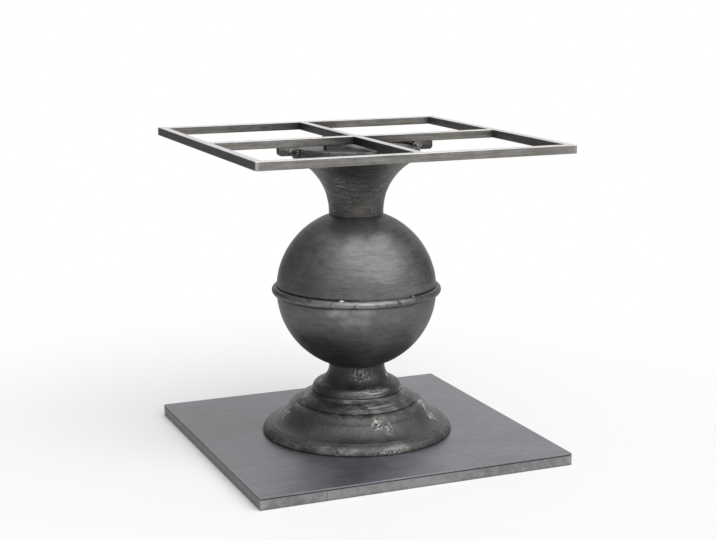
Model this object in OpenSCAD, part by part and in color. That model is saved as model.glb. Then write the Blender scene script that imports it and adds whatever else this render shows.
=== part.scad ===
// Pedestal table base.
// A square tube frame is carried by a cast capital with four ears. The capital stands on a
// spun steel ball with a half-round ring at its equator, the ball on a moulded cast foot, and
// the foot on a square base. A pipe inside the ball takes the load, and one tie rod draws
// the stack together.
// The origin is at the bottom centre, on the floor. The frame's sides lie along X and Y.

/* [Top frame] */
// Outer side of the square frame
frame_w = 730; // [500:5:1000]
// Outer width and height of the frame tube
frame_tube = 19; // [17:0.5:25]
// Wall of the frame tube
frame_wall = 1.5; // [1:0.1:2.5]

/* [Capital casting] */
// Radius of the capital's neck, where it stands on the ball
capital_neck_r = 63; // [45:1:75]
// Radius of the capital's lip
lip_r = 147; // [125:1:170]
// Height of the upright lip
lip_h = 22; // [16:1:35]
// Thickness of the lip round the top plate
lip_t = 5; // [3:0.5:8]
// Width of the ledge that carries the top plate
ledge_w = 4; // [2:0.5:6]
// Height of the round under the lip
lip_round_h = 7; // [4:0.5:12]
// Radius gained by the round under the lip
lip_round_w = 4.7; // [3:0.1:8]
// Height of the hollow flare between neck and lip
flare_h = 123; // [95:1:150]
// Height of the straight neck below the flare
capital_neck_h = 7; // [4:0.5:14]
// Reach of the four ears from the column's axis
ear_reach = 190; // [176:1:220]
// Width of an ear
ear_w = 19; // [14:0.5:26]
// Depth of an ear
ear_d = 19; // [14:0.5:22]
// Radius of an ear's lower outer corner
ear_round = 8; // [4:0.5:12]
// How far the ears stand above the lip
ear_rise = 3; // [1:0.5:6]

/* [Top plate] */
// Thickness of the plate that closes the capital
plate_t = 6; // [4:0.5:8]
// Depth of the plate's face below the lip
plate_recess = 6; // [3:0.5:9]
// Length of a packer under a half rail
packer_l = 35; // [20:1:50]
// Distance from the axis to the middle of a packer
packer_at = 58; // [45:1:90]

/* [Ball] */
// Outer radius of the ball
ball_r = 186; // [150:1:215]
// Thickness of the ball's spun shell
ball_t = 2; // [1.5:0.1:4]
// Width of the half-round bar of the equator ring
ring_w = 19; // [12:0.5:28]
// How far the ring's bar axis lies outside the ball's face
ring_out = 1.5; // [1:0.5:3]

/* [Foot casting] */
// Radius of the foot's rim
foot_r = 222; // [205:1:260]
// Height of the rim's upright foot
rim_foot_h = 3; // [1:0.5:6]
// Height of the rim
rim_h = 22.5; // [18:0.5:28]
// How far the top of the rim lies inside its face
rim_in = 16; // [12:0.5:22]
// Height of the hollow above the rim
cove_h = 28; // [24:1:42]
// Radius at the top of the hollow
shoulder_r = 164.5; // [152:0.5:175]
// Height of the round shoulder above the hollow
shoulder_h = 22; // [12:0.5:26]
// Radius at the foot of the lower bead
low_bead_r = 142.5; // [130:0.5:148]
// Height of the lower bead
low_bead_h = 15; // [11:0.5:24]
// Radius at the top of the lower bead
shelf_r = 115.5; // [112:0.5:126]
// Height of the small hollow on the lower bead
shelf_h = 8; // [6:0.5:14]
// Radius at the foot of the upper bead
top_bead_r = 105; // [98:0.5:109]
// Height of the upper bead
top_bead_h = 20.5; // [17:0.5:32]
// Radius at the top of the upper bead
throat_r = 90; // [78:0.5:96]
// Height of the throat that runs in to the neck
throat_h = 36; // [24:0.5:45]
// Radius of the foot's neck, under the ball
foot_neck_r = 65; // [45:1:73]
// Height of the straight neck under the ball
foot_neck_h = 7.5; // [4:0.5:16]
// Side of the small square fillets and grooves between the mouldings
fillet = 1.5; // [1:0.25:3]

/* [Castings] */
// Wall of the two castings
cast_wall = 9; // [6:0.5:12]
// Thickness of the castings' webs round the tie rod
cast_web = 12; // [8:0.5:16]
// How far the pipe's pockets lie behind the ball's poles
pocket_d = 4; // [2:0.5:8]

/* [Base] */
// Outer side of the square base
base_w = 738; // [560:2:1000]
// Thickness of the base's top sheet
base_sheet_t = 3; // [2:0.5:5]
// Outer width and height of the base tube
base_tube_w = 25; // [25:1:40]
// Wall of the base tube
base_wall = 2; // [1.2:0.1:3]
// Distance from the axis to the middle of a brace
brace_at = 110; // [60:1:200]
// Thickness of the anchor plate under the sheet
anchor_t = 6; // [4:0.5:7]
// Length of the anchor plate along the braces
anchor_l = 120; // [60:1:200]

/* [Tie rod and pipe] */
// Radius of the tie rod
rod_r = 8; // [6:0.5:9]
// Length of rod past each nut
rod_end = 2; // [0.5:0.5:2]
// Height of a nut
nut_h = 13; // [8:0.5:13]
// Width of a nut across its flats
nut_af = 24; // [22:1:28]
// Radius of a washer
washer_r = 20; // [16:1:23]
// Thickness of a washer
washer_t = 3; // [2:0.5:3]
// Outer radius of the pipe inside the ball
pipe_r = 24.15; // [20:0.05:32]
// Wall of the pipe inside the ball
pipe_wall = 3; // [2:0.1:5]

/* [Fits] */
// Radial clearance round the tie rod
rod_play = 0.5; // [0.3:0.1:1]
// Radial clearance of a nut's thread
thread_play = 0.1; // [0.05:0.05:0.2]
// Radial clearance round the pipe and the top plate
seat_play = 0.3; // [0.2:0.1:0.6]

/* [Hidden] */

steel_grey = [0.44, 0.43, 0.41];
base_grey = [0.45, 0.45, 0.46];
ball_grey = [0.27, 0.27, 0.28];
iron_grey = [0.2, 0.2, 0.2];
zinc_grey = [0.62, 0.62, 0.6];

// Overshoot of a cut past the face that it opens
past = 1;
// Faces on a tube's rounded edge, and on each arc of a moulding
edge_steps = 4;
arc_steps = 12;
$fn = 96;

// How far each arc of a moulding bulges, as a share of its chord: hollow where below zero
rim_bulge = 0.16;
cove_bulge = -0.1;
shoulder_bulge = 0.15;
low_bead_bulge = 0.07;
shelf_bulge = -0.05;
top_bead_bulge = 0.18;
// The bulge of an arc that spans a width and a height and is upright at one end
function upright_bulge(width, height) = tan(atan(width / height) / 2) / 2;
throat_bulge = -upright_bulge(throat_r - foot_neck_r, throat_h);
flare_bulge = -upright_bulge(lip_r - lip_round_w - capital_neck_r, flare_h);
lip_bulge = upright_bulge(lip_round_w, lip_round_h);

// Heights from the floor, from the base up
sheet_z = base_tube_w;
base_top_z = sheet_z + base_sheet_t;
foot_h = rim_h + cove_h + shoulder_h + low_bead_h + shelf_h + top_bead_h + throat_h
    + foot_neck_h + 3 * fillet;
ball_z = base_top_z + foot_h + sqrt(pow(ball_r, 2) - pow(foot_neck_r, 2));
capital_z = ball_z + sqrt(pow(ball_r, 2) - pow(capital_neck_r, 2));
capital_h = capital_neck_h + flare_h + lip_round_h + lip_h;
lip_z = capital_z + capital_h;
frame_z = lip_z + ear_rise;
plate_z = lip_z - plate_recess - plate_t;
pipe_foot_z = ball_z - ball_r - pocket_d;
pipe_head_z = ball_z + ball_r + pocket_d;
web_top_z = pipe_head_z + cast_web;
web_under_z = pipe_foot_z - cast_web;
anchor_z = sheet_z - anchor_t;
rod_foot_z = anchor_z - washer_t - nut_h - rod_end;
rod_head_z = web_top_z + washer_t + nut_h + rod_end;

// The points of an arc from p towards q, without q. It bulges to the right of its way.
function arc_to(p, q, bulge, steps) =
    bulge == 0 ? [p] :
    let (
        half_angle = 2 * atan(2 * bulge),
        chord = norm(q - p),
        along = (q - p) / chord,
        outward = [along[1], -along[0]],
        radius = chord / (2 * sin(half_angle))
    )
    [for (i = [0 : steps - 1])
        let (a = half_angle * (2 * i / steps - 1))
        p + along * (chord / 2 + radius * sin(a))
            + outward * radius * (cos(a) - cos(half_angle))];

// A moulding's outline from corners given as [radius, height, bulge of the arc that follows]
function outline(corners) = concat(
    [for (i = [0 : len(corners) - 2])
        let (p = corners[i], q = corners[i + 1])
        each arc_to([p[0], p[1]], [q[0], q[1]], p[2], arc_steps)],
    [[corners[len(corners) - 1][0], corners[len(corners) - 1][1]]]);

// The foot's corners, from its rim up to the ball, with heights above the base's sheet
bell_z = rim_h + fillet;
shoulder_z = bell_z + cove_h;
low_bead_z = shoulder_z + shoulder_h;
shelf_z = low_bead_z + fillet + low_bead_h;
top_bead_z = shelf_z + shelf_h;
throat_z = top_bead_z + fillet + top_bead_h;
foot_corners = [
    [foot_r - fillet, 0, 0],
    [foot_r, rim_foot_h, rim_bulge],
    [foot_r - rim_in, rim_h, 0],
    [foot_r - rim_in - fillet, bell_z, cove_bulge],
    [shoulder_r, shoulder_z, shoulder_bulge],
    [low_bead_r + fillet, low_bead_z, 0],
    [low_bead_r - fillet, low_bead_z, 0],
    [low_bead_r - fillet, low_bead_z + fillet, 0],
    [low_bead_r, low_bead_z + fillet, low_bead_bulge],
    [shelf_r, shelf_z, shelf_bulge],
    [top_bead_r + fillet, top_bead_z, 0],
    [top_bead_r - fillet, top_bead_z, 0],
    [top_bead_r - fillet, top_bead_z + fillet, 0],
    [top_bead_r, top_bead_z + fillet, top_bead_bulge],
    [throat_r, throat_z, throat_bulge],
    [foot_neck_r, throat_z + throat_h, 0],
    [foot_neck_r, foot_h, 0]
];

// The capital's corners, from the ball up to its lip, with heights above its own foot
flare_z = capital_neck_h + flare_h;
capital_corners = [
    [capital_neck_r, 0, 0],
    [capital_neck_r, capital_neck_h, flare_bulge],
    [lip_r - lip_round_w, flare_z, lip_bulge],
    [lip_r, flare_z + lip_round_h, 0],
    [lip_r, capital_h, 0]
];

// A square with rounded corners, centred
module rounded_square(side, corner) {
    c = side / 2 - corner;
    polygon([for (q = [0 : 3], i = [0 : edge_steps])
        let (
            a = 90 * (q + i / edge_steps),
            sx = q == 0 || q == 3 ? 1 : -1,
            sy = q < 2 ? 1 : -1
        )
        [sx * c + corner * cos(a), sy * c + corner * sin(a)]]);
}

// A straight length of square tube along X, centred, its edges rounded as far as its wall
module square_tube(length, side, wall) {
    rotate([90, 0, 90])
        linear_extrude(height = length, center = true)
            difference() {
                rounded_square(side, wall);
                square(side - 2 * wall, center = true);
            }
}

// One side of a mitred square, on the side towards -Y, with its top at zero
module mitred_side(width, side, wall) {
    out = side / 2 + past;
    translate([0, (side - width) / 2, -side / 2])
        intersection() {
            square_tube(width, side, wall);
            linear_extrude(height = 2 * side, center = true)
                polygon([
                    [-width / 2 - past, -out], [width / 2 + past, -out],
                    [width / 2 - side - past, out], [side - width / 2 + past, out]
                ]);
        }
}

module frame_side(turn) {
    color(steel_grey)
        translate([0, 0, frame_z + frame_tube])
            rotate(turn) mitred_side(frame_w, frame_tube, frame_wall);
}

module cross_rail() {
    color(steel_grey)
        translate([0, 0, frame_z + frame_tube / 2])
            rotate(90) square_tube(frame_w - 2 * frame_tube, frame_tube, frame_wall);
}

// A half rail from the cross rail to the frame's side, to the left for -1
module half_rail(hand) {
    length = frame_w / 2 - 1.5 * frame_tube;
    color(steel_grey)
        translate([hand * (frame_tube + length) / 2, 0, frame_z + frame_tube / 2])
            square_tube(length, frame_tube, frame_wall);
}

// A block between the top plate and a half rail
module packer(hand) {
    height = frame_z - plate_z - plate_t;
    color(iron_grey)
        translate([hand * packer_at - packer_l / 2, -frame_tube / 2, plate_z + plate_t])
            cube([packer_l, frame_tube, height]);
}

module top_plate() {
    color(iron_grey)
        translate([0, 0, plate_z])
            cylinder(h = plate_t, r = lip_r - lip_t - seat_play);
}

// An ear along +X, level with the rails above it
module ear() {
    inner = lip_r - lip_t / 2;
    translate([0, ear_w / 2, frame_z - ear_d])
        rotate([90, 0, 0])
            linear_extrude(height = ear_w)
                polygon(concat(
                    [[inner, ear_d], [inner, 0]],
                    arc_to([ear_reach - ear_round, 0], [ear_reach, ear_round],
                        tan(22.5) / 2, edge_steps * 2),
                    [[ear_reach, ear_round], [ear_reach, ear_d]]
                ));
}

// The capital's outline from its axis out
module capital_outline() {
    polygon(concat([[0, 0]], outline(capital_corners), [[0, capital_h]]));
}

// The hollow between the web and the ledge follows the outside, one wall in and up
module capital_core() {
    web = web_top_z - capital_z;
    ledge = plate_z - capital_z;
    translate([0, 0, capital_z])
        rotate_extrude()
            intersection() {
                translate([-cast_wall, cast_wall]) capital_outline();
                translate([0, web]) square([lip_r - lip_t - ledge_w, ledge + past - web]);
            }
}

module capital() {
    color(iron_grey)
        difference() {
            union() {
                translate([0, 0, capital_z]) rotate_extrude() capital_outline();
                for (turn = [0 : 90 : 270]) rotate(turn) ear();
            }
            capital_core();
            translate([0, 0, plate_z]) cylinder(h = capital_h, r = lip_r - lip_t);
            translate([0, 0, ball_z]) sphere(r = ball_r);
            translate([0, 0, ball_z]) cylinder(h = pipe_head_z - ball_z, r = pipe_r + seat_play);
            translate([0, 0, ball_z]) cylinder(h = ball_r * 2, r = rod_r + rod_play);
        }
}

// Half of the ball's shell, the upper half for 1
module ball_half(hand) {
    color(ball_grey)
        translate([0, 0, ball_z])
            difference() {
                sphere(r = ball_r);
                sphere(r = ball_r - ball_t);
                translate([0, 0, -hand * ball_r]) cube(2 * ball_r, center = true);
                cylinder(h = 3 * ball_r, r = pipe_r + seat_play, center = true);
            }
}

module ball_ring() {
    color(ball_grey)
        translate([0, 0, ball_z])
            difference() {
                rotate_extrude() translate([ball_r + ring_out, 0]) circle(d = ring_w);
                sphere(r = ball_r);
            }
}

// The foot's outline from its axis out
module foot_outline() {
    polygon(concat([[0, 0]], outline(foot_corners), [[0, foot_h]]));
}

// The hollow under the web follows the outside, one wall in and down
module foot_core() {
    web = web_under_z - base_top_z;
    translate([0, 0, base_top_z])
        rotate_extrude()
            intersection() {
                translate([-cast_wall, -cast_wall]) foot_outline();
                translate([0, -past]) square([foot_r, web + past]);
            }
}

module foot_casting() {
    color(iron_grey)
        difference() {
            translate([0, 0, base_top_z]) rotate_extrude() foot_outline();
            foot_core();
            translate([0, 0, ball_z]) sphere(r = ball_r);
            translate([0, 0, pipe_foot_z]) cylinder(h = ball_r, r = pipe_r + seat_play);
            translate([0, 0, base_top_z]) cylinder(h = ball_r, r = rod_r + rod_play);
        }
}

module centre_pipe() {
    color(steel_grey)
        translate([0, 0, pipe_foot_z])
            difference() {
                cylinder(h = pipe_head_z - pipe_foot_z, r = pipe_r);
                translate([0, 0, -past])
                    cylinder(h = pipe_head_z - pipe_foot_z + 2 * past, r = pipe_r - pipe_wall);
            }
}

module tie_rod() {
    color(zinc_grey)
        translate([0, 0, rod_foot_z]) cylinder(h = rod_head_z - rod_foot_z, r = rod_r);
}

module nut(z) {
    color(zinc_grey)
        translate([0, 0, z])
            difference() {
                cylinder(h = nut_h, d = nut_af / cos(30), $fn = 6);
                translate([0, 0, -past]) cylinder(h = nut_h + 2 * past, r = rod_r + thread_play);
            }
}

module washer(z) {
    color(zinc_grey)
        translate([0, 0, z])
            difference() {
                cylinder(h = washer_t, r = washer_r);
                translate([0, 0, -past]) cylinder(h = washer_t + 2 * past, r = rod_r + rod_play);
            }
}

module base_sheet() {
    color(base_grey)
        translate([0, 0, sheet_z])
            difference() {
                translate([-base_w / 2, -base_w / 2, 0]) cube([base_w, base_w, base_sheet_t]);
                translate([0, 0, -past])
                    cylinder(h = base_sheet_t + 2 * past, r = rod_r + rod_play);
            }
}

module base_side(turn) {
    color(base_grey)
        translate([0, 0, sheet_z]) rotate(turn) mitred_side(base_w, base_tube_w, base_wall);
}

module brace(hand) {
    color(base_grey)
        translate([hand * brace_at, 0, sheet_z - base_tube_w / 2])
            rotate(90) square_tube(base_w - 2 * base_tube_w, base_tube_w, base_wall);
}

// The plate between the braces that the tie rod pulls on
module anchor_plate() {
    width = 2 * brace_at - base_tube_w;
    color(base_grey)
        translate([0, 0, anchor_z])
            difference() {
                translate([-width / 2, -anchor_l / 2, 0]) cube([width, anchor_l, anchor_t]);
                translate([0, 0, -past]) cylinder(h = anchor_t + 2 * past, r = rod_r + rod_play);
            }
}

frame_side(0);  // rail_front
frame_side(90);  // rail_right
frame_side(180);  // rail_back
frame_side(270);  // rail_left
cross_rail();
half_rail(-1);  // half_rail_left
half_rail(1);  // half_rail_right
packer(-1);  // packer_left
packer(1);  // packer_right
top_plate();
capital();
ball_half(1);  // ball_top
ball_ring();
ball_half(-1);  // ball_bottom
foot_casting();
centre_pipe();
tie_rod();
nut(web_top_z + washer_t);  // nut_top
washer(web_top_z);  // washer_top
nut(anchor_z - washer_t - nut_h);  // nut_bottom
washer(anchor_z - washer_t);  // washer_bottom
base_sheet();
base_side(0);  // base_tube_front
base_side(90);  // base_tube_right
base_side(180);  // base_tube_back
base_side(270);  // base_tube_left
brace(-1);  // brace_left
brace(1);  // brace_right
anchor_plate();
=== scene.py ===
"""Dresses the pedestal table base: tube frame, cast capital, spun ball, cast foot and square base.

All sizes and places are metres in the solids' frame, apart from the outlines of the two castings.
"""
from math import acos, atan2, cos, hypot, pi, radians, sin, tan

import bpy
from mathutils import Euler, Matrix, Vector


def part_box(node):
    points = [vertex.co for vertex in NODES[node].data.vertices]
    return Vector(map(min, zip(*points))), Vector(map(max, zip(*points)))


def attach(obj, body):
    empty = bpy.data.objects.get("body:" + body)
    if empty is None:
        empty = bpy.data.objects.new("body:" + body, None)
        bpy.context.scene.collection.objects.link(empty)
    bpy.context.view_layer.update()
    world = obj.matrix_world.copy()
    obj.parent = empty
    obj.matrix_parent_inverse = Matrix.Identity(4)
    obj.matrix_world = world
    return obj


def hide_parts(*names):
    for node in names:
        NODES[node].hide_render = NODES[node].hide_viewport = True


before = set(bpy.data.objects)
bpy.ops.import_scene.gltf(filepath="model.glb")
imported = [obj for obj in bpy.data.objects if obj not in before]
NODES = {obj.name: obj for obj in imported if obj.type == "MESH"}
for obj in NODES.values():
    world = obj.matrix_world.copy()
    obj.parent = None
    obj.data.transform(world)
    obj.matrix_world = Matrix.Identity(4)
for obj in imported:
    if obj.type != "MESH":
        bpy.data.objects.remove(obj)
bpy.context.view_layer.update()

# Sizes and heights of the solids, in metres
SHEET_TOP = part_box("base_sheet")[1].z
BASE_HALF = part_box("base_sheet")[1].x
TUBE_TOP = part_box("base_tube_front")[1].z
CAPITAL_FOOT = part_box("capital")[0].z
FRAME_UNDER, FRAME_TOP = (corner.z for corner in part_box("rail_front"))
FRAME_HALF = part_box("rail_front")[1].x
RAIL_MIDDLE = FRAME_HALF - (FRAME_TOP - FRAME_UNDER) / 2
BALL_Z = sum(corner.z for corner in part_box("ball_ring")) / 2
BALL_R = 0.186
BALL_SHELL = 0.002
# Radius of the opening at each pole of the ball, for the centre pipe
BALL_OPENING = 0.02445
# Half the width of the ring's bar, and how far its axis lies outside the ball
RING_HALF = 0.0095
RING_OUT = 0.0015
# The ears run from inside the lip to their outer ends
EAR_ROOT, EAR_END = 0.1425, 0.1895
EAR_WIDTH = 0.019
EAR_ROUND = 0.008

# Colours, linear
WHITE = (1, 1, 1)
# Dark for dirt, joints and painted shade
DIRT_AND_SHADE = (0.02, 0.02, 0.02)
DARK_STEEL = (0.03, 0.03, 0.031)
# Bare iron for knocks and scars, bright enough to serve also as a painted highlight
BARE_IRON = (0.55, 0.545, 0.53)
BRIGHT_IRON = (0.7, 0.695, 0.68)


# Materials

class Wire:
    """A value on its way through a material. Arithmetic on it adds Math nodes."""

    def __init__(self, nodes, socket):
        self.nodes, self.socket = nodes, socket

    def math(self, operation, first, second):
        return self.nodes.node("Math", {"operation": operation}, {0: first, 1: second})

    def __add__(self, other):
        return self.math("ADD", self, other)

    def __radd__(self, other):
        return self.math("ADD", other, self)

    def __sub__(self, other):
        return self.math("SUBTRACT", self, other)

    def __rsub__(self, other):
        return self.math("SUBTRACT", other, self)

    def __mul__(self, other):
        return self.math("MULTIPLY", self, other)

    def __rmul__(self, other):
        return self.math("MULTIPLY", other, self)

    def __pow__(self, other):
        return self.math("POWER", self, other)

    def __abs__(self):
        return self.math("ABSOLUTE", self, 0.0)


class Nodes:
    """The node tree of a material or of the world, filled by Python expressions."""

    def __init__(self, owner, end):
        owner.use_nodes = True
        self.tree = owner.node_tree
        self.tree.nodes.clear()
        self.end = self.tree.nodes.new("ShaderNode" + end)

    def feed(self, socket, value):
        """Links a wire to the socket, or sets a number, a vector or a colour on it."""
        if isinstance(value, Wire):
            self.tree.links.new(value.socket, socket)
        elif socket.type == "RGBA":
            socket.default_value = (*value, 1)
        else:
            socket.default_value = value

    def node(self, kind, settings=None, sockets=None, output=0):
        """Adds a node with those settings and sockets, and gives one of its outputs."""
        made = self.tree.nodes.new("ShaderNode" + kind)
        for name, value in (settings or {}).items():
            setattr(made, name, value)
        for name, value in (sockets or {}).items():
            self.feed(made.inputs[name], value)
        return Wire(self, made.outputs[output])

    def larger(self, first, second):
        return self.node("Math", {"operation": "MAXIMUM"}, {0: first, 1: second})

    def seen(self):
        """1 for what the camera sees, straight on or through a mirror or glass, and 0 for other light."""
        rays = self.node("LightPath", {}, {}, "Is Camera Ray")
        for kind in ("Is Glossy Ray", "Is Transmission Ray"):
            rays = self.larger(rays, self.node("LightPath", {}, {}, kind))
        return rays

    def show(self, shader):
        """Makes that shader the one that is rendered."""
        self.feed(self.end.inputs["Surface"], shader)


class Finish(Nodes):
    """A procedural finish on a Principled shader. Its patterns read the Object coordinates, in metres."""

    def __init__(self, name, metallic, roughness, color):
        self.material = bpy.data.materials.new(name)
        self.material.diffuse_color = (*color, 1)
        super().__init__(self.material, "OutputMaterial")
        self.look = self.node("BsdfPrincipled", {}, {
            "Metallic": metallic, "Roughness": roughness, "Base Color": color})
        self.show(self.look)
        self.place = self.node("TexCoord", {}, {}, "Object")
        self.x, self.y, self.z = (self.node("SeparateXYZ", {}, {0: self.place}, axis) for axis in range(3))

    def set(self, name, value):
        self.feed(self.look.socket.node.inputs[name], value)

    def radius(self):
        """Distance from the column's axis."""
        return (self.x * self.x + self.y * self.y) ** 0.5

    def noise(self, size, detail, rough, stretch=(1, 1, 1), warp=0.0):
        """Cloudy value round 0.5 with features of about that size, stretched along each axis."""
        spot = self.node("Mapping", {}, {"Vector": self.place, "Scale": tuple(1 / s for s in stretch)})
        return self.node("TexNoise", {}, {
            "Vector": spot, "Scale": 1 / size, "Detail": detail, "Roughness": rough, "Distortion": warp})

    def step(self, value, low, high, start=0.0, end=1.0):
        """Start below low, end above high, smooth between."""
        return self.node("MapRange", {"interpolation_type": "SMOOTHSTEP"}, {
            "Value": value, "From Min": low, "From Max": high, "To Min": start, "To Max": end})

    def scale(self, value, low, high, start, end):
        """Start below low, end above high, straight between."""
        return self.node("MapRange", {}, {
            "Value": value, "From Min": low, "From Max": high, "To Min": start, "To Max": end})

    def blend(self, share, first, second):
        """The first colour where share is 0, the second where it is 1."""
        return self.node("Mix", {"data_type": "RGBA"}, {0: share, 6: first, 7: second}, 2)

    def spot(self, place, size, stretch=(1, 1, 1)):
        """1 at a place on the piece, falling to 0 at that distance."""
        offset = self.node("VectorMath", {"operation": "SUBTRACT"}, {0: self.place, 1: place})
        squeezed = self.node("VectorMath", {"operation": "DIVIDE"}, {0: offset, 1: stretch})
        away = self.node("VectorMath", {"operation": "LENGTH"}, {0: squeezed}, 1)
        return self.step(away, 0.0, size, 1.0, 0.0)

    def patch(self, place, size, stretch):
        """Like spot, but fuller towards its edge."""
        return self.spot(place, size, stretch) ** 0.6

    def bump(self, *heights):
        """Relief from (height in metres, value) pairs, one Bump node each."""
        normal = None
        for height, value in heights:
            sockets = {"Height": value, "Distance": height, "Strength": 1.0}
            if normal:
                sockets["Normal"] = normal
            normal = self.node("Bump", {}, sockets)
        self.set("Normal", normal)


def stretched(axis, by):
    """A stretch along one axis, for a pattern that runs along a tube."""
    return tuple(by if i == axis else 1 for i in range(3))


def scaled(share, color):
    return tuple(share * part for part in color)


def frame_welds(f):
    """The frame's ground welds, at its corners and at its middle rails, fainter on the right."""
    welds = f.step(abs(f.x) + abs(f.y), 2 * FRAME_HALF - 0.010, 2 * FRAME_HALF - 0.003)
    for x, y in ((RAIL_MIDDLE, 0), (-RAIL_MIDDLE, 0), (0, RAIL_MIDDLE), (0, -RAIL_MIDDLE), (0, 0)):
        welds = welds + f.spot((x, y, FRAME_TOP), 0.022) * 0.5
    return welds * f.step(f.x, 0.1, 0.3, 1.0, 0.35)


def frame_steel(name, along, shade=1.0):
    """Raw tube streaked along its length, brown with dried oil; painted highlight on top, painted shade at
    two welds.
    """
    f = Finish(name, 0.85, 0.4, (0.3, 0.3, 0.3))
    brushing = f.noise(0.0035, 4, 0.6, stretched(along, 14))
    streaks = f.noise(0.0050, 3, 0.55, stretched(along, 30))
    hues = f.noise(0.075, 3, 0.5)
    patches = f.noise(0.030, 3, 0.55, (1.6, 1.6, 1))
    fine = f.noise(0.012, 4, 0.65)
    # A shade below 1 darkens every colour, for the rails that are seen in shade: painted shade
    brown, grey = scaled(shade, (0.168, 0.150, 0.133)), scaled(shade, (0.158, 0.157, 0.150))
    pale, bright = scaled(shade, (0.250, 0.236, 0.219)), scaled(shade, (0.33, 0.317, 0.296))
    dark = scaled(shade, (0.08, 0.074, 0.067))
    color = f.blend(f.step(hues, 0.42, 0.58), brown, grey)
    color = f.blend(f.step(patches * 0.65 + fine * 0.35, 0.38, 0.64) * 0.8, color, pale)
    color = f.blend(f.scale(streaks, 0.42, 0.66, 0.0, 0.6), color, dark)
    color = f.blend(f.scale(brushing, 0.35, 0.7, 0.0, 0.35), color, bright)
    # Painted highlight along the top faces, which are also smoother
    top = f.step(f.z, FRAME_TOP - 0.0014, FRAME_TOP - 0.0002)
    color = f.blend(top * f.scale(brushing, 0.3, 0.7, 0.6, 0.9), color, (0.72, 0.715, 0.73))
    color = f.blend(frame_welds(f) * f.scale(fine, 0.3, 0.7, 0.3, 0.7), color, (0.50, 0.485, 0.46))
    # Painted shade round the back crossing and the middle crossing of the rails
    crossing_shade = f.spot((0, RAIL_MIDDLE, FRAME_TOP), 0.15) + f.spot((0, 0, FRAME_TOP), 0.13)
    color = f.blend(crossing_shade * (1 - top) * 0.8, color, (0.035, 0.034, 0.033))
    f.set("Base Color", color)
    f.set("Roughness", f.scale(brushing * 0.5 + fine * 0.5, 0.35, 0.65, 0.34, 0.50) - top * 0.12)
    f.bump((0.00015, fine), (0.00006, brushing))
    return f.material


def base_steel(name, along, blue=0.0):
    """Cloudy grey steel with long grinding marks. Gives its finish, its colour and its fine pattern."""
    f = Finish(name, 0.8, 0.4, (0.3, 0.3, 0.3))
    grinding = f.noise(0.004, 4, 0.6, stretched(along, 26))
    streaks = f.noise(0.013, 5, 0.7, stretched(along, 9), warp=1.0)
    clouds = f.noise(0.11, 4, 0.6, (1.5, 1, 1), warp=0.4)
    fine = f.noise(0.014, 4, 0.65)
    shadow, light = (0.148, 0.147, 0.148 + 0.012 * blue), (0.225, 0.224, 0.222 + 0.021 * blue)
    color = f.blend(f.step(clouds * 0.75 + fine * 0.25, 0.38, 0.62), shadow, light)
    color = f.blend(f.step(streaks, 0.46, 0.68) * 0.25, color, (0.125, 0.124, 0.125 + 0.007 * blue))
    color = f.blend(f.step(streaks, 0.48, 0.34) * 0.2, color, (0.27, 0.268, 0.267 + 0.018 * blue))
    color = f.blend(f.scale(grinding, 0.3, 0.72, 0.0, 0.22), color, (0.30, 0.30, 0.31))
    f.set("Roughness", f.scale(grinding * 0.3 + streaks * 0.1 + clouds * 0.6, 0.35, 0.65, 0.35, 0.51))
    f.bump((0.0002, streaks), (0.0001, fine), (0.00004, grinding))
    return f, color, fine


def sheet_steel(name):
    """The base's top sheet: olive in places, worn edges with a painted highlight, painted shade at the back
    left and round the foot.
    """
    f, color, fine = base_steel(name, 0, blue=1.8)
    stain = f.step(f.noise(0.16, 3, 0.55, warp=0.3), 0.46, 0.62)
    color = f.blend(stain * 0.4, color, (0.176, 0.178, 0.166))
    # Painted shade towards the back left
    color = f.blend(f.spot((-0.30, 0.18, SHEET_TOP), 0.50) * 0.35, color, (0.118, 0.121, 0.108))
    face = f.step(f.z, SHEET_TOP - 0.0012, SHEET_TOP - 0.0003)
    # A painted highlight along the worn edges of the top face
    edge = f.step(f.larger(abs(f.x), abs(f.y)), BASE_HALF - 0.0016, BASE_HALF - 0.0004) * face
    color = f.blend(edge * f.scale(fine, 0.3, 0.7, 0.0, 0.4), color, (0.5, 0.5, 0.51))
    # Painted shade in a ring round the foot
    foot_contact_shade = f.step(f.radius() + fine * 0.004, 0.223, 0.229, 0.35, 0.0) * face
    f.set("Base Color", f.blend(foot_contact_shade, color, (0.03, 0.03, 0.03)))
    return f.material


def tube_steel(name, along, joint=None, painted_side_shade=0.0):
    """The underframe's tubes: a dark seam under the sheet, ground corners, and darker near the floor.

    joint is the (x, y) of a joint line in the front tube's face.
    """
    f, color, fine = base_steel(name, along)
    color = f.blend(f.step(fine, 0.42, 0.62) * 0.45, color, (0.27, 0.27, 0.272))
    if joint:
        x, y = joint
        line = f.step(abs(f.x - x), 0.0004, 0.0012, 0.7, 0.0) * f.step(f.y, y, y + 0.003, 1.0, 0.0)
        color = f.blend(line, color, DIRT_AND_SHADE)
    corner = f.step(abs(f.x) + abs(f.y), 2 * BASE_HALF - 0.016, 2 * BASE_HALF - 0.004)
    color = f.blend(corner * f.scale(fine, 0.3, 0.7, 0.2, 0.6), color, (0.36, 0.36, 0.365))
    seam = f.step(f.z + fine * 0.002, TUBE_TOP - 0.0022, TUBE_TOP - 0.0006)
    color = f.blend(seam, color, DIRT_AND_SHADE)
    # Darker towards the floor
    foot = f.step(f.z + fine * 0.006, 0.003, 0.010, 0.45, 0.0)
    color = f.blend(foot, color, (0.09, 0.088, 0.085))
    # Painted shade: a darker copy for the side tubes and the braces
    if painted_side_shade:
        color = f.blend(painted_side_shade, color, DARK_STEEL)
    f.set("Base Color", color)
    return f.material


def plate_steel(name):
    """The plates in the capital and under the sheet, darker than the other steel."""
    f, color, _ = base_steel(name, 0, blue=1.8)
    f.set("Base Color", f.blend(0.7, color, DARK_STEEL))
    return f.material


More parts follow.
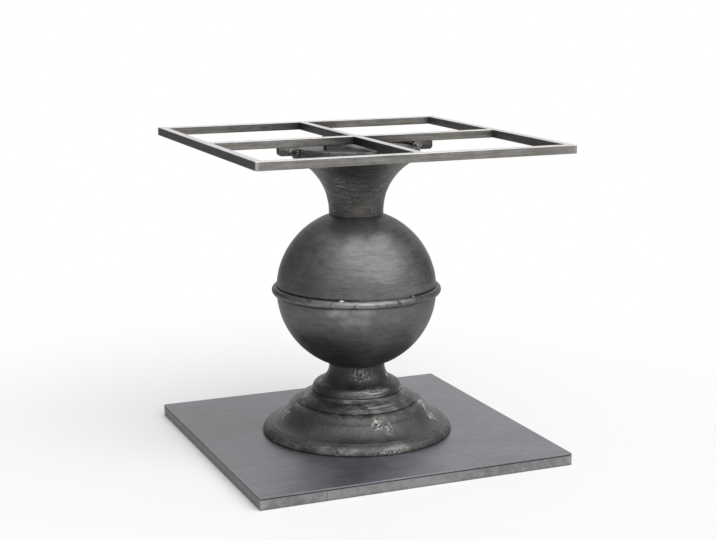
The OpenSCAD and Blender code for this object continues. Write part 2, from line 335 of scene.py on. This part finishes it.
def ball_steel(name, low, high, smears_and_painted_light=(), smudges=(), pits=(), painted_glints=(), seam=False):
    """Blackened spun steel, brushed round the column, with soft hammer marks and places worn bare.

    smears_and_painted_light are (place, reach, stretch, strength): worn patches, and broad painted light
    and shade, dark where the strength is negative. Smudges are (place, reach, stretch), pits and
    painted_glints (place, reach). seam darkens the ball beside its ring with dirt and painted shade.
    """
    f = Finish(name, 0.85, 0.4, low)
    f.set("Specular Tint", (0.75, 0.75, 0.75))
    brushing = f.noise(0.0026, 4, 0.6, (7, 7, 1))
    ripples = f.noise(0.0095, 4, 0.6, (5, 5, 1), warp=0.5)
    lines = f.noise(0.0055, 4, 0.7, (9, 9, 1), warp=0.6)
    clouds = f.noise(0.06, 4, 0.6, (1.3, 1.3, 1))
    fine = f.noise(0.005, 4, 0.7)
    dabs = f.noise(0.016, 4, 0.6, (1.3, 1.3, 1), warp=0.5)
    color = f.blend(f.step(clouds * 0.6 + ripples * 0.4, 0.36, 0.64), low, high)
    color = f.blend(f.scale(brushing, 0.35, 0.75, 0.0, 0.22), color, scaled(1.9, high))
    color = f.blend(f.step(lines, 0.52, 0.64) * 0.32, color, scaled(0.4, low))
    # Worn marks, and broad painted light and shade
    for place, reach, stretch, strength in smears_and_painted_light:
        near = f.patch(place, reach, stretch) * f.scale(dabs, 0.35, 0.65, 0.35, 1.0)
        color = f.blend(near * abs(strength), color, (0.31, 0.31, 0.312) if strength > 0 else DIRT_AND_SHADE)
    for place, reach, stretch in smudges:
        near = f.spot(place, reach, stretch) + f.scale(dabs, 0.3, 0.7, -0.10, 0.10)
        bare = f.step(near, 0.10, 0.24) * f.scale(fine, 0.3, 0.7, 0.4, 0.9)
        color = f.blend(bare, color, (0.24, 0.24, 0.24))
        color = f.blend(f.step(abs(near - 0.10), 0.0, 0.08, 0.5, 0.0), color, DIRT_AND_SHADE)
    # Painted highlights on the lumps of weld
    for place, reach in painted_glints:
        color = f.blend(f.spot(place, reach) ** 0.5, color, (0.6, 0.6, 0.6))
    for place, reach in pits:
        color = f.blend(f.spot(place, reach) ** 0.4, color, (0.004, 0.004, 0.004))
    if seam:
        # Dirt and painted shade beside the ring, fading at the front and below it
        beside = f.step(abs(abs(f.z - BALL_Z) - (RING_HALF + 0.0009)), 0.0012, 0.0034, 1.0, 0.0)
        line_fades = f.spot((-0.005, -0.187, BALL_Z), 0.14) + (f.z - BALL_Z) * -20
        color = f.blend(beside * f.step(line_fades, 0.1, 0.5, 1.0, 0.15) * 0.9, color, (0.008, 0.008, 0.008))
    f.set("Base Color", color)
    f.set("Roughness", f.scale(brushing * 0.3 + clouds * 0.7, 0.35, 0.65, 0.38, 0.48))
    f.bump((0.0005, ripples), (0.0003, lines), (0.00012, fine), (0.00006, brushing))
    return f.material


# The kinds of scuff on the iron: the noise that breaks it up, how dark its hollows are (dirt and painted
# shade), its bare metal, which is also a painted highlight
SCUFFS = {
    "chips": ((0.0048, 2, 0.5, (1, 1, 1), 1.2), 1.0, BARE_IRON),
    "glinting_gouges": ((0.0090, 2, 0.5, (1, 1, 1.6), 1.4), 0.6, BRIGHT_IRON),
    "level": ((0.0024, 3, 0.6, (16, 16, 1), 0.3), 0.4, BARE_IRON),
    "upright": ((0.0030, 3, 0.6, (1, 1, 6), 0.4), 1.0, BARE_IRON),
}


def scuffed(f, color, relief, scuffs):
    """Adds scuffs to the colour and the relief: bare metal and a painted highlight where they stand up,
    dirt and painted shade in their hollows.
    """
    grains = {kind: f.noise(*noise) for kind, (noise, _, _) in SCUFFS.items()}
    for kind, place, reach, stretch, strength in scuffs:
        _, hollow, bare = SCUFFS[kind]
        near, grain = f.patch(place, reach, stretch), grains[kind]
        color = f.blend(near * f.step(grain, 0.47, 0.38) * hollow, color, (0.014, 0.0138, 0.0132))
        color = f.blend(near * f.step(grain, 0.5, 0.6) * strength, color, bare)
        relief = relief + near * grain * strength * 2.4
    return color, relief


def cast_iron(name, grooves=(), edges=(), painted_shade_patches=(), scuffs=(), banded=0.0, tint=None, dark_above=None):
    """Dark waxed cast iron: a sand-cast skin, dirt and painted shade in the grooves, edges and knocks worn
    to bare metal and lightened as painted highlights, and patches of painted shade.

    Grooves are (height, width) and edges (height, width, strength). painted_shade_patches are (place,
    reach, stretch, strength), and scuffs the same after their kind. banded is the strength of marks from
    turning, tint the (place, reach, stretch) of a brown patch, and dark_above the heights between which the
    iron darkens, as painted shade.
    """
    f = Finish(name, 0.7, 0.48, (0.05, 0.05, 0.05))
    sand = f.noise(0.0018, 4, 0.7)
    grit = f.noise(0.006, 4, 0.65)
    clouds = f.noise(0.045, 4, 0.6)
    streaks = f.noise(0.004, 3, 0.6, (5, 5, 1))
    bands = f.noise(0.003, 3, 0.6, (9, 9, 1))
    cloudy = f.step(clouds * 0.6 + grit * 0.4, 0.36, 0.66)
    color = f.blend(cloudy, (0.05, 0.0495, 0.048), (0.088, 0.087, 0.084))
    # Painted shade between those heights
    if dark_above:
        color = f.blend(f.step(f.z, *dark_above, 0.0, 0.5), color, (0.024, 0.0238, 0.0232))
    if banded:
        runs = f.noise(0.0034, 3, 0.6, (1, 1, 16))
        color = f.blend(f.step(bands, 0.5, 0.70) * banded, color, (0.155, 0.155, 0.154))
        color = f.blend(f.step(runs, 0.52, 0.66) * banded * 0.75, color, DIRT_AND_SHADE)
    if tint:
        color = f.blend(f.spot(*tint) * f.scale(grit, 0.3, 0.7, 0.4, 1.0), color, (0.13, 0.1, 0.08))
    # Dirt and painted shade in the grooves and at the joints
    for height, width in grooves:
        near = f.step(abs(f.z - height), 0.0, width, 1.0, 0.0)
        color = f.blend(near * f.scale(grit, 0.3, 0.6, 0.95, 0.6), color, (0.012, 0.0117, 0.0112))
    # Worn edges, and bands of painted light
    for height, width, strength in edges:
        near = f.step(abs(f.z - height), width * 0.3, width, 1.0, 0.0)
        worn = f.step(streaks * 0.5 + clouds * 0.5, 0.46, 0.62)
        color = f.blend(near * worn * strength, color, (0.2, 0.198, 0.19))
    # Patches of painted shade
    for place, reach, stretch, strength in painted_shade_patches:
        color = f.blend(f.patch(place, reach, stretch) * strength, color, (0.016, 0.0158, 0.0152))
    color, relief = scuffed(f, color, grit, scuffs)
    f.set("Base Color", color)
    f.set("Roughness", f.scale(grit * 0.5 + clouds * 0.5, 0.35, 0.65, 0.36, 0.52))
    turning = [(0.0003, bands)] if banded else []
    f.bump((0.0013, relief), (0.0004, sand), *turning)
    return f.material


def zinc_steel(name):
    """Zinc plate with a fine grain, for the tie rod and its nuts."""
    f = Finish(name, 0.9, 0.35, (0.55, 0.55, 0.53))
    grain = f.noise(0.004, 4, 0.6)
    f.set("Base Color", f.blend(grain, (0.42, 0.42, 0.4), (0.66, 0.66, 0.63)))
    f.set("Roughness", f.scale(grain, 0.3, 0.7, 0.28, 0.45))
    f.bump((0.00005, grain))
    return f.material


# Modelling

def start(piece):
    """Makes the piece the active object and the only one that is selected."""
    bpy.ops.object.select_all(action="DESELECT")
    bpy.context.view_layer.objects.active = piece
    piece.select_set(True)


def finish_piece(piece, name, material, node, smooth_angle=40):
    """Puts the piece's place in its mesh, names and paints it, and lets it stand for the node."""
    start(piece)
    bpy.ops.object.transform_apply(location=True, rotation=True, scale=True)
    bpy.ops.object.shade_smooth_by_angle(angle=radians(smooth_angle))
    piece.name = piece.data.name = name
    piece.data.materials.clear()
    piece.data.materials.append(material)
    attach(piece, "root")
    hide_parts(node)


def join(piece, others):
    """Makes the others a part of the piece."""
    start(piece)
    for other in others:
        other.select_set(True)
    bpy.ops.object.join()


def turned(outline, facets=256):
    """A closed shape turned round the column: a circle, extruded and scaled to each (radius, height)."""
    bpy.ops.object.select_all(action="DESELECT")
    r, z = outline[0]
    bpy.ops.mesh.primitive_circle_add(vertices=facets, radius=r, location=(0, 0, z))
    piece = bpy.context.object
    bpy.ops.object.transform_apply(location=True)
    bpy.ops.object.mode_set(mode="EDIT")
    bpy.ops.mesh.select_all(action="SELECT")
    for next_r, next_z in outline[1:]:
        bpy.ops.mesh.extrude_region_move(TRANSFORM_OT_translate={"value": (0, 0, next_z - z)})
        bpy.ops.transform.resize(value=(next_r / r, next_r / r, 1), center_override=(0, 0, next_z))
        r, z = next_r, next_z
    bpy.ops.mesh.select_all(action="SELECT")
    bpy.ops.mesh.remove_doubles(threshold=0.00001)
    bpy.ops.mesh.normals_make_consistent(inside=False)
    bpy.ops.object.mode_set(mode="OBJECT")
    return piece


def roughen(piece, size, height, name):
    """Pushes the surface in and out by a cloudy pattern, as casting or hammering leaves it."""
    clouds = bpy.data.textures.new(name, "CLOUDS")
    clouds.noise_scale = size
    clouds.noise_depth = 2
    waves = piece.modifiers.new(name, "DISPLACE")
    waves.texture = clouds
    waves.texture_coords = "LOCAL"
    waves.strength = height
    start(piece)
    bpy.ops.object.modifier_apply(modifier=waves.name)


def soften(piece, width):
    """Rounds the sharp edges of a block a little."""
    bevel = piece.modifiers.new("soft_edges", "BEVEL")
    bevel.width = width
    bevel.segments = 2
    bevel.limit_method = "ANGLE"
    bevel.angle_limit = radians(30)
    start(piece)
    bpy.ops.object.modifier_apply(modifier=bevel.name)


def arc(p, q, bulge, steps):
    """Points from p towards q, without q, on an arc that swells to its right by that share of its chord."""
    dx, dz = q[0] - p[0], q[1] - p[1]
    if not bulge:
        return [(p[0] + dx * i / steps, p[1] + dz * i / steps) for i in range(steps)]
    half = 2 * atan2(2 * bulge, 1)
    chord = hypot(dx, dz)
    ax, az = dx / chord, dz / chord
    radius = chord / (2 * sin(half))
    points = []
    for i in range(steps):
        angle = half * (2 * i / steps - 1)
        along, out = chord / 2 + radius * sin(angle), radius * (cos(angle) - cos(half))
        points.append((p[0] + ax * along + az * out, p[1] + az * along - ax * out))
    return points


def quarter_bulge(width, height):
    """The bulge of an arc over that width and height whose one end stands upright."""
    return tan(atan2(width, height) / 2) / 2


def moulding(bottom, corners):
    """An outline in metres, from (radius, rise, bulge of the arc that follows) in millimetres."""
    point_spacing, longest_flat = 2.2, 6
    points = []
    z = bottom * 1000
    for (r, rise, bulge), (next_r, next_rise, _) in zip(corners, corners[1:]):
        z += rise
        length = hypot(next_r - r, next_rise)
        steps = max(1, round(length / point_spacing)) if bulge or length > longest_flat else 1
        points += arc((r, z), (next_r, z + next_rise), bulge, steps)
    points.append((next_r, z + next_rise))
    return [(r / 1000, z / 1000) for r, z in points]


def hidden_wall(bottom, points):
    """The inside of a casting in metres, from (radius, height above the bottom) in millimetres."""
    return [(r / 1000, bottom + z / 1000) for r, z in points]


# Pieces

def ball_half(name, side, node, material):
    """A spun half of the ball, above (side 1) or below (side -1) its ring, open at its pole."""
    def meridian(radius, steps):
        last = acos(BALL_OPENING / radius)
        angles = [last * i / steps for i in range(steps + 1)]
        return [(radius * cos(a), BALL_Z + side * radius * sin(a)) for a in angles]

    outside, inside = meridian(BALL_R, 90), meridian(BALL_R - BALL_SHELL, 30)
    piece = turned(outside + inside[::-1] + [outside[0]])
    roughen(piece, 0.035, 0.0009, name + "_hammering")
    finish_piece(piece, name, material, node)


def ring(material):
    """The half-round band that covers the ball's seam, with three lumps of weld on it."""
    middle, back = BALL_R + RING_OUT, BALL_R - 0.0004
    # A little more than the half circle, so that both ends lie in the ball
    angles = [pi * (0.53 - 1.06 * i / 20) for i in range(21)]
    face = [(middle + RING_HALF * cos(a), BALL_Z + RING_HALF * sin(a)) for a in angles]
    piece = turned(face + [(back, face[-1][1]), (back, face[0][1]), face[0]], 320)
    roughen(piece, 0.02, 0.0007, "ring_hammering")
    join(piece, [
        lump((-0.1013, -0.1580, 0.3755), (0.0060, 0.0034, 0.0026), 0.62),
        lump((-0.0940, -0.1625, 0.3755), (0.0040, 0.003, 0.0018), 0.55),
        lump((0.0629, -0.1795, 0.3762), (0.0028, 0.0022, 0.0022), 0.3),
    ])
    finish_piece(piece, "ball_band", material, "ball_ring")


def foot(material):
    """The cast foot: a rim, a hollow, a shoulder and two beads up to the neck under the ball."""
    rim_r, rim_foot_h, rim_h, rim_in = 222, 3, 22.5, 16
    fillet = 1.5
    cove_h, shoulder_r, shoulder_h = 28, 164.5, 22
    low_bead_r, low_bead_h = 142.5, 15
    shelf_r, shelf_h = 115.5, 8
    top_bead_r, top_bead_h = 105, 20.5
    throat_r, throat_h = 90, 36
    neck_r, neck_h, seat_gap = 65, 7.5, 0.1
    outside = moulding(SHEET_TOP, [
        (rim_r - fillet, 0, 0),
        (rim_r, rim_foot_h, 0.16),
        (rim_r - rim_in, rim_h - rim_foot_h, 0),
        (rim_r - rim_in - fillet, fillet, -0.1),
        (shoulder_r, cove_h, 0.15),
        (low_bead_r + fillet, shoulder_h, 0),
        (low_bead_r - fillet, 0, 0),
        (low_bead_r - fillet, fillet, 0),
        (low_bead_r, 0, 0.07),
        (shelf_r, low_bead_h, -0.05),
        (top_bead_r + fillet, shelf_h, 0),
        (top_bead_r - fillet, 0, 0),
        (top_bead_r - fillet, fillet, 0),
        (top_bead_r, 0, 0.18),
        (throat_r, top_bead_h, -quarter_bulge(throat_r - neck_r, throat_h)),
        (neck_r, throat_h, 0),
        (neck_r, neck_h - seat_gap, 0),
    ])
    inside = hidden_wall(SHEET_TOP, [
        (24.5, 148.3), (24.5, 136.3), (56, 136.3), (75, 114), (96.5, 90), (132, 64), (153, 44), (196, 14),
        (211, 0),
    ])
    piece = turned(outside + inside + [outside[0]])
    roughen(piece, 0.035, 0.0009, "foot_casting_skin")
    roughen(piece, 0.009, 0.00025, "foot_casting_grit")
    finish_piece(piece, "cast_foot", material, "foot_casting", 28)


def capital(material):
    """The cast capital: a flared bell with an upright lip, four ears and the lumps of weld on them."""
    neck_r, neck_h, seat_gap = 63, 7, 0.1
    flare_h, round_w, round_h = 123, 4.7, 7
    lip_r, lip_h, lip_t, outer_edge, inner_edge = 147, 22, 5, 1.5, 1.2
    plate_bottom, ledge_w = 12, 4
    flare_r, mouth_r = lip_r - round_w, lip_r - lip_t
    outside = moulding(CAPITAL_FOOT, [
        (neck_r, seat_gap, 0),
        (neck_r, neck_h - seat_gap, -quarter_bulge(flare_r - neck_r, flare_h)),
        (flare_r, flare_h, quarter_bulge(round_w, round_h)),
        (lip_r, round_h, 0),
        (lip_r, lip_h - outer_edge, 0.2),
        (lip_r - outer_edge, outer_edge, 0),
        (mouth_r + inner_edge, 0, 0.2),
        (mouth_r, -inner_edge, 0),
        (mouth_r, inner_edge - plate_bottom, 0),
        (mouth_r - ledge_w, 0, 0),
        (mouth_r - ledge_w, -1, 0),
    ])
    inside = hidden_wall(0, [
        (133.3, 680.3), (110, 663.5), (80, 630), (60, 589), (56, 568.3), (24.5, 568.3), (24.5, 550.5),
    ])
    piece = turned(outside + inside + [outside[0]])
    roughen(piece, 0.03, 0.0010, "capital_skin")
    roughen(piece, 0.009, 0.0004, "capital_grit")
    join(piece, [
        *ears(),
        lump((-0.1630, -0.0095, 0.6935), (0.0055, 0.0030, 0.0050)),
        lump((-0.1475, -0.0150, 0.6910), (0.0060, 0.0060, 0.0070)),
        lump((0.1333, -0.0530, 0.6995), (0.0085, 0.0050, 0.0040)),
        lump((0.1450, -0.0100, 0.6960), (0.0070, 0.0045, 0.0055)),
    ])
    finish_piece(piece, "cast_capital", material, "capital")


def ears():
    """The capital's four ears: one block with its lower outer corner rounded off, and three copies."""
    z = FRAME_UNDER - EAR_WIDTH / 2
    bpy.ops.object.select_all(action="DESELECT")
    bpy.ops.mesh.primitive_cube_add(size=1, location=((EAR_ROOT + EAR_END) / 2, 0, z),
                                    scale=(EAR_END - EAR_ROOT, EAR_WIDTH, EAR_WIDTH))
    first = bpy.context.object
    bpy.ops.object.transform_apply(location=True, rotation=True, scale=True)
    bpy.ops.object.mode_set(mode="EDIT")
    bpy.ops.mesh.select_all(action="SELECT")
    bpy.ops.mesh.bisect(plane_co=(EAR_END - EAR_ROUND + 0.0005, 0, z), plane_no=(1, 0, 0))
    bpy.ops.mesh.select_all(action="DESELECT")
    bpy.ops.object.mode_set(mode="OBJECT")
    for edge in first.data.edges:
        a, b = (first.data.vertices[i].co for i in edge.vertices)
        edge.select = min(a.x, b.x) > EAR_END - 0.0005 and max(a.z, b.z) < z
    bpy.ops.object.mode_set(mode="EDIT")
    bpy.ops.mesh.bevel(offset=EAR_ROUND, segments=6, affect="EDGES")
    bpy.ops.object.mode_set(mode="OBJECT")
    soften(first, 0.0012)
    made = [first]
    for quarter in (1, 2, 3):
        start(first)
        bpy.ops.object.duplicate()
        made.append(bpy.context.object)
        bpy.ops.object.mode_set(mode="EDIT")
        bpy.ops.mesh.select_all(action="SELECT")
        bpy.ops.transform.rotate(value=-quarter * pi / 2, orient_axis="Z", center_override=(0, 0, 0))
        bpy.ops.object.mode_set(mode="OBJECT")
    return made


def lump(place, half_size, turn=0.0):
    """A small lump of weld, rough all over."""
    bpy.ops.object.select_all(action="DESELECT")
    bpy.ops.mesh.primitive_ico_sphere_add(subdivisions=4, radius=1, location=place, scale=half_size,
                                          rotation=(0, 0, -turn))
    piece = bpy.context.object
    bpy.ops.object.transform_apply(location=True, rotation=True, scale=True)
    roughen(piece, 0.004, 0.0012, "weld_skin")
    return piece


# The object

cast = cast_iron("waxed_cast_iron")
foot_iron = cast_iron(
    "waxed_foot_iron",
    # Painted shade on the neck under the ball
    dark_above=(0.138, 0.165),
    # Dirt and painted shade at the joints with the sheet and the ball, and in the crease under the low bead
    grooves=[(0.0283, 0.0010), (0.1028, 0.0018), (0.1912, 0.002)],
    # The wide bands at 0.036 and 0.120 lighten the rim and the shelf: painted light
    edges=[
        (0.0470, 0.006, 0.25),
        (0.0970, 0.007, 0.5),
        (0.1080, 0.014, 0.5),
        (0.1120, 0.009, 0.6),
        (0.1200, 0.008, 0.7),
        (0.1440, 0.010, 0.3),
        (0.0360, 0.014, 0.6),
    ],
    # Patches of painted shade
    painted_shade_patches=[
        ((0.0470, -0.0940, 0.1350), 0.036, (1, 1, 1), 0.7),
        ((-0.0990, -0.0340, 0.1380), 0.050, (1, 1, 1), 0.55),
        ((0.0460, -0.0520, 0.1760), 0.034, (1, 1, 1), 0.6),
        ((-0.1200, -0.0450, 0.1170), 0.060, (1, 1, 0.6), 0.75),
        ((0.0920, -0.1080, 0.1100), 0.036, (1, 1, 0.6), 0.5),
    ],
    scuffs=[
        ("chips", (-0.0180, -0.1600, 0.0850), 0.022, (0.8, 1, 1), 0.6),
        ("upright", (0.0085, -0.1720, 0.0715), 0.024, (0.6, 1, 1), 0.4),
        ("level", (-0.0100, -0.0990, 0.1400), 0.060, (1, 0.7, 0.28), 0.5),
        ("chips", (0.0090, -0.0990, 0.1440), 0.012, (1, 1, 0.5), 0.6),
        ("level", (-0.0150, -0.1220, 0.1155), 0.044, (1, 0.7, 0.2), 0.7),
        ("level", (0.0250, -0.1200, 0.1110), 0.030, (1, 0.7, 0.2), 0.6),
        # This one also lightens the shelf: painted light
        ("level", (-0.0500, -0.1080, 0.1180), 0.050, (1, 0.8, 0.3), 0.4),
        ("upright", (-0.0160, -0.0640, 0.1760), 0.036, (1.0, 0.8, 0.8), 0.3),
        # Scars on the foot's outline, brightened as painted highlights
        ("glinting_gouges", (0.1314, -0.0823, 0.0915), 0.028, (0.8, 0.8, 1.1), 1.0),
        ("glinting_gouges", (0.1525, -0.0994, 0.0660), 0.026, (1, 1, 0.6), 0.9),
        ("glinting_gouges", (0.0850, -0.0633, 0.1300), 0.018, (1, 1, 0.8), 0.7),
        ("glinting_gouges", (0.0577, -0.0430, 0.1630), 0.012, (1, 1, 1), 0.6),
        ("glinting_gouges", (-0.1640, 0.0358, 0.0780), 0.032, (1, 1, 0.9), 0.8),
        ("glinting_gouges", (-0.1170, 0.0208, 0.1170), 0.020, (1, 1, 0.8), 0.6),
        ("glinting_gouges", (-0.0870, 0.0123, 0.1520), 0.014, (1, 1, 1), 0.5),
        ("chips", (-0.0230, -0.2180, 0.0330), 0.060, (1, 0.6, 0.16), 0.25),
        ("chips", (0.0150, -0.2180, 0.0330), 0.050, (1, 0.6, 0.16), 0.25),
        ("chips", (-0.1200, -0.1850, 0.0350), 0.036, (1, 1, 0.3), 0.35),
    ])
capital_iron = cast_iron(
    "waxed_capital_iron",
    banded=0.8,
    tint=((-0.0200, -0.0600, 0.5600), 0.030, (1, 1, 0.6)),
    # Painted shade where the capital meets the ball and under its lip
    grooves=[(0.5420, 0.0025), (0.6760, 0.006)],
    # The lip's edge: worn, and lightened as a painted highlight
    edges=[(0.7000, 0.004, 1.0)],
    # Painted shade on the ears under the rails and on the far lip
    painted_shade_patches=[
        ((-0.1680, -0.0050, 0.6930), 0.045, (1, 1, 1), 0.5),
        ((0.1680, -0.0050, 0.6930), 0.045, (1, 1, 1), 0.6),
        ((0.0950, 0.1050, 0.6960), 0.110, (1, 1, 1), 0.5),
    ],
    scuffs=[
        ("level", (-0.0602, -0.0510, 0.6118), 0.018, (1, 1, 0.4), 0.6),
        ("level", (-0.0655, -0.0646, 0.6300), 0.018, (1, 1, 0.4), 0.45),
        # Painted highlights on the lumps of weld by the ears
        ("chips", (0.1333, -0.0553, 0.7020), 0.016, (1, 1, 1), 0.5),
        ("chips", (0.1450, -0.0120, 0.7000), 0.014, (1, 1, 1), 0.5),
        ("chips", (-0.1630, -0.0110, 0.6960), 0.010, (1, 1, 1), 0.35),
    ])
ball = ball_steel(
    "blackened_ball_steel", (0.078, 0.078, 0.079), (0.125, 0.125, 0.127),
    seam=True,
    smears_and_painted_light=[
        ((-0.1100, -0.1480, 0.3500), 0.030, (1, 1, 0.7), 0.9),
        ((-0.0550, -0.1760, 0.3530), 0.040, (1, 1, 0.3), 0.7),
        ((-0.0870, -0.1620, 0.3340), 0.040, (0.6, 0.6, 1), 0.8),
        ((-0.0560, -0.1740, 0.3380), 0.036, (0.6, 0.6, 1), 0.7),
        # The broad ones from here on are painted light: highlights on the upper left, reflection of the
        # floor below the ring, and painted shade low on the left
        ((-0.0800, -0.0680, 0.5190), 0.130, (1, 1, 1), 0.15),
        ((-0.1570, -0.0510, 0.4500), 0.110, (1, 1, 1), 0.15),
        ((-0.0600, -0.1060, 0.5050), 0.120, (1, 1, 1), 0.16),
        ((0.0340, -0.1720, 0.3060), 0.100, (1, 1, 1), 0.13),
        ((-0.0550, -0.1700, 0.3130), 0.140, (1, 1, 0.7), 0.15),
        ((-0.1255, -0.0360, 0.2340), 0.120, (1, 1, 0.7), -0.4),
    ],
    pits=[((0.0629, -0.1824, 0.3768), 0.0022)])
band = ball_steel(
    "worn_band_steel_painted_highlight", (0.085, 0.085, 0.085), (0.13, 0.13, 0.13),
    smears_and_painted_light=[
        # Broad painted highlights across the front and left of the band
        ((-0.0600, -0.1900, 0.3700), 0.110, (1, 1, 0.5), 0.6),
        ((-0.1500, -0.1280, 0.3660), 0.100, (1, 1, 1), 0.5),
    ],
    smudges=[
        ((-0.1020, -0.1670, 0.3660), 0.034, (1, 1, 0.40)),
        ((-0.0540, -0.1880, 0.3650), 0.034, (1, 1, 0.30)),
    ],
    pits=[((-0.0337, -0.1940, 0.3668), 0.0022)],
    painted_glints=[((-0.1013, -0.1580, 0.3775), 0.008), ((0.0629, -0.1795, 0.3785), 0.003)])

for material, names in {
    frame_steel("frame_tube_along_x", 0): ["rail_front", "half_rail_left"],
    # Darker copies for the side, cross and back rails: painted shade
    frame_steel("frame_tube_along_y_painted_shade", 1, 0.5): ["rail_left", "rail_right", "cross_rail"],
    frame_steel("frame_tube_at_the_back_painted_shade", 0, 0.8): ["rail_back", "half_rail_right"],
    tube_steel("base_tube_along_x", 0, joint=(-0.2211, -0.3680)): [
        "base_tube_front", "base_tube_back", "centre_pipe"],
    tube_steel("base_tube_along_y_painted_shade", 1, painted_side_shade=0.36): [
        "base_tube_left", "base_tube_right", "brace_left", "brace_right"],
    sheet_steel("base_sheet_steel"): ["base_sheet"],
    plate_steel("dark_plate_steel"): ["top_plate", "anchor_plate"],
    cast: ["packer_left", "packer_right", "capital", "foot_casting"],
    ball: ["ball_top", "ball_ring", "ball_bottom"],
    zinc_steel("zinc_fastener"): ["tie_rod", "nut_top", "washer_top", "nut_bottom", "washer_bottom"],
}.items():
    for name in names:
        for slot in NODES[name].material_slots:
            slot.material = material

ball_half("ball_upper", 1, "ball_top", ball)
ball_half("ball_lower", -1, "ball_bottom", ball)
ring(band)
foot(foot_iron)
capital(capital_iron)


# Camera, floor and light

def camera():
    """The photograph's view, from the front left and a little above."""
    # In pixels of the photograph
    picture_width, focal_length = 716, 1488.789
    sensor_width = 36
    lens = bpy.data.cameras.new("camera")
    lens.sensor_width = sensor_width
    lens.lens = focal_length * sensor_width / picture_width
    lens.shift_x, lens.shift_y = -0.0194, -0.0003
    eye = bpy.data.objects.new("camera", lens)
    bpy.context.collection.objects.link(eye)
    tilt, roll, heading = radians(78.6719), radians(0.0981), radians(-23.1049)
    place = Vector((-1.296964, -3.134945, 1.089400))
    eye.matrix_world = Matrix.LocRotScale(place, Euler((tilt, roll, heading)), None)
    bpy.context.scene.camera = eye


def sun(name, towards, spread, strength):
    """A far lamp in that direction. Its spread, in degrees, makes its shadows soft."""
    light = bpy.data.lights.new(name, "SUN")
    light.angle = radians(spread)
    light.energy = strength
    lamp = bpy.data.objects.new(name, light)
    bpy.context.collection.objects.link(lamp)
    lamp.rotation_mode = "QUATERNION"
    lamp.rotation_quaternion = Vector(towards).to_track_quat("Z", "Y")


def floor():
    """A pale floor that takes the object's shadow and turns to plain white further out."""
    bpy.ops.object.select_all(action="DESELECT")
    bpy.ops.mesh.primitive_plane_add(size=24, location=(0, 0, 0))
    ground = bpy.context.object
    ground.name = "floor"
    f = Finish("pale_floor", 0.0, 0.6, (0.95, 0.95, 0.95))
    f.set("Specular IOR Level", 0.2)
    far = f.step(f.radius(), 0.7, 1.7)
    white = f.node("Emission", {}, {"Color": WHITE})
    f.show(f.node("MixShader", {}, {0: far * f.seen(), 1: f.look, 2: white}))
    ground.data.materials.append(f.material)


def grey_card(name, place, width, tone):
    """A tall card that stands beside the object and faces it. Only the object's gloss shows it."""
    x, y = place
    height, middle = 5.4, 0.9
    bpy.ops.object.select_all(action="DESELECT")
    bpy.ops.mesh.primitive_plane_add(size=1, location=(x, y, middle), rotation=(pi / 2, 0, atan2(-x, y)))
    card = bpy.context.object
    card.name = name
    card.scale = (width, height, 1)
    card.visible_camera = card.visible_shadow = card.visible_diffuse = False
    f = Finish(name, 0.0, 0.5, (0, 0, 0))
    f.set("Emission Color", scaled(tone, WHITE))
    f.set("Emission Strength", 1.0)
    card.data.materials.append(f.material)


def studio():
    """White to the camera and in what the metal mirrors, softer on the object itself."""
    bpy.context.scene.world = bpy.data.worlds.new("studio")
    nodes = Nodes(bpy.context.scene.world, "OutputWorld")
    soft = nodes.node("Background", {}, {"Color": WHITE, "Strength": 0.28})
    white = nodes.node("Background", {}, {"Color": WHITE, "Strength": 1.0})
    nodes.show(nodes.node("MixShader", {}, {0: nodes.seen(), 1: soft, 2: white}))


camera()
floor()
grey_card("left_card", (-1.93, 1.26), 5.4, 0.24)
grey_card("right_card", (2.25, 0.47), 1.2, 0.1)
studio()
sun("key", (0.190, -0.585, 0.788), 76, 3.0)
bpy.context.scene.view_settings.view_transform = "Standard"
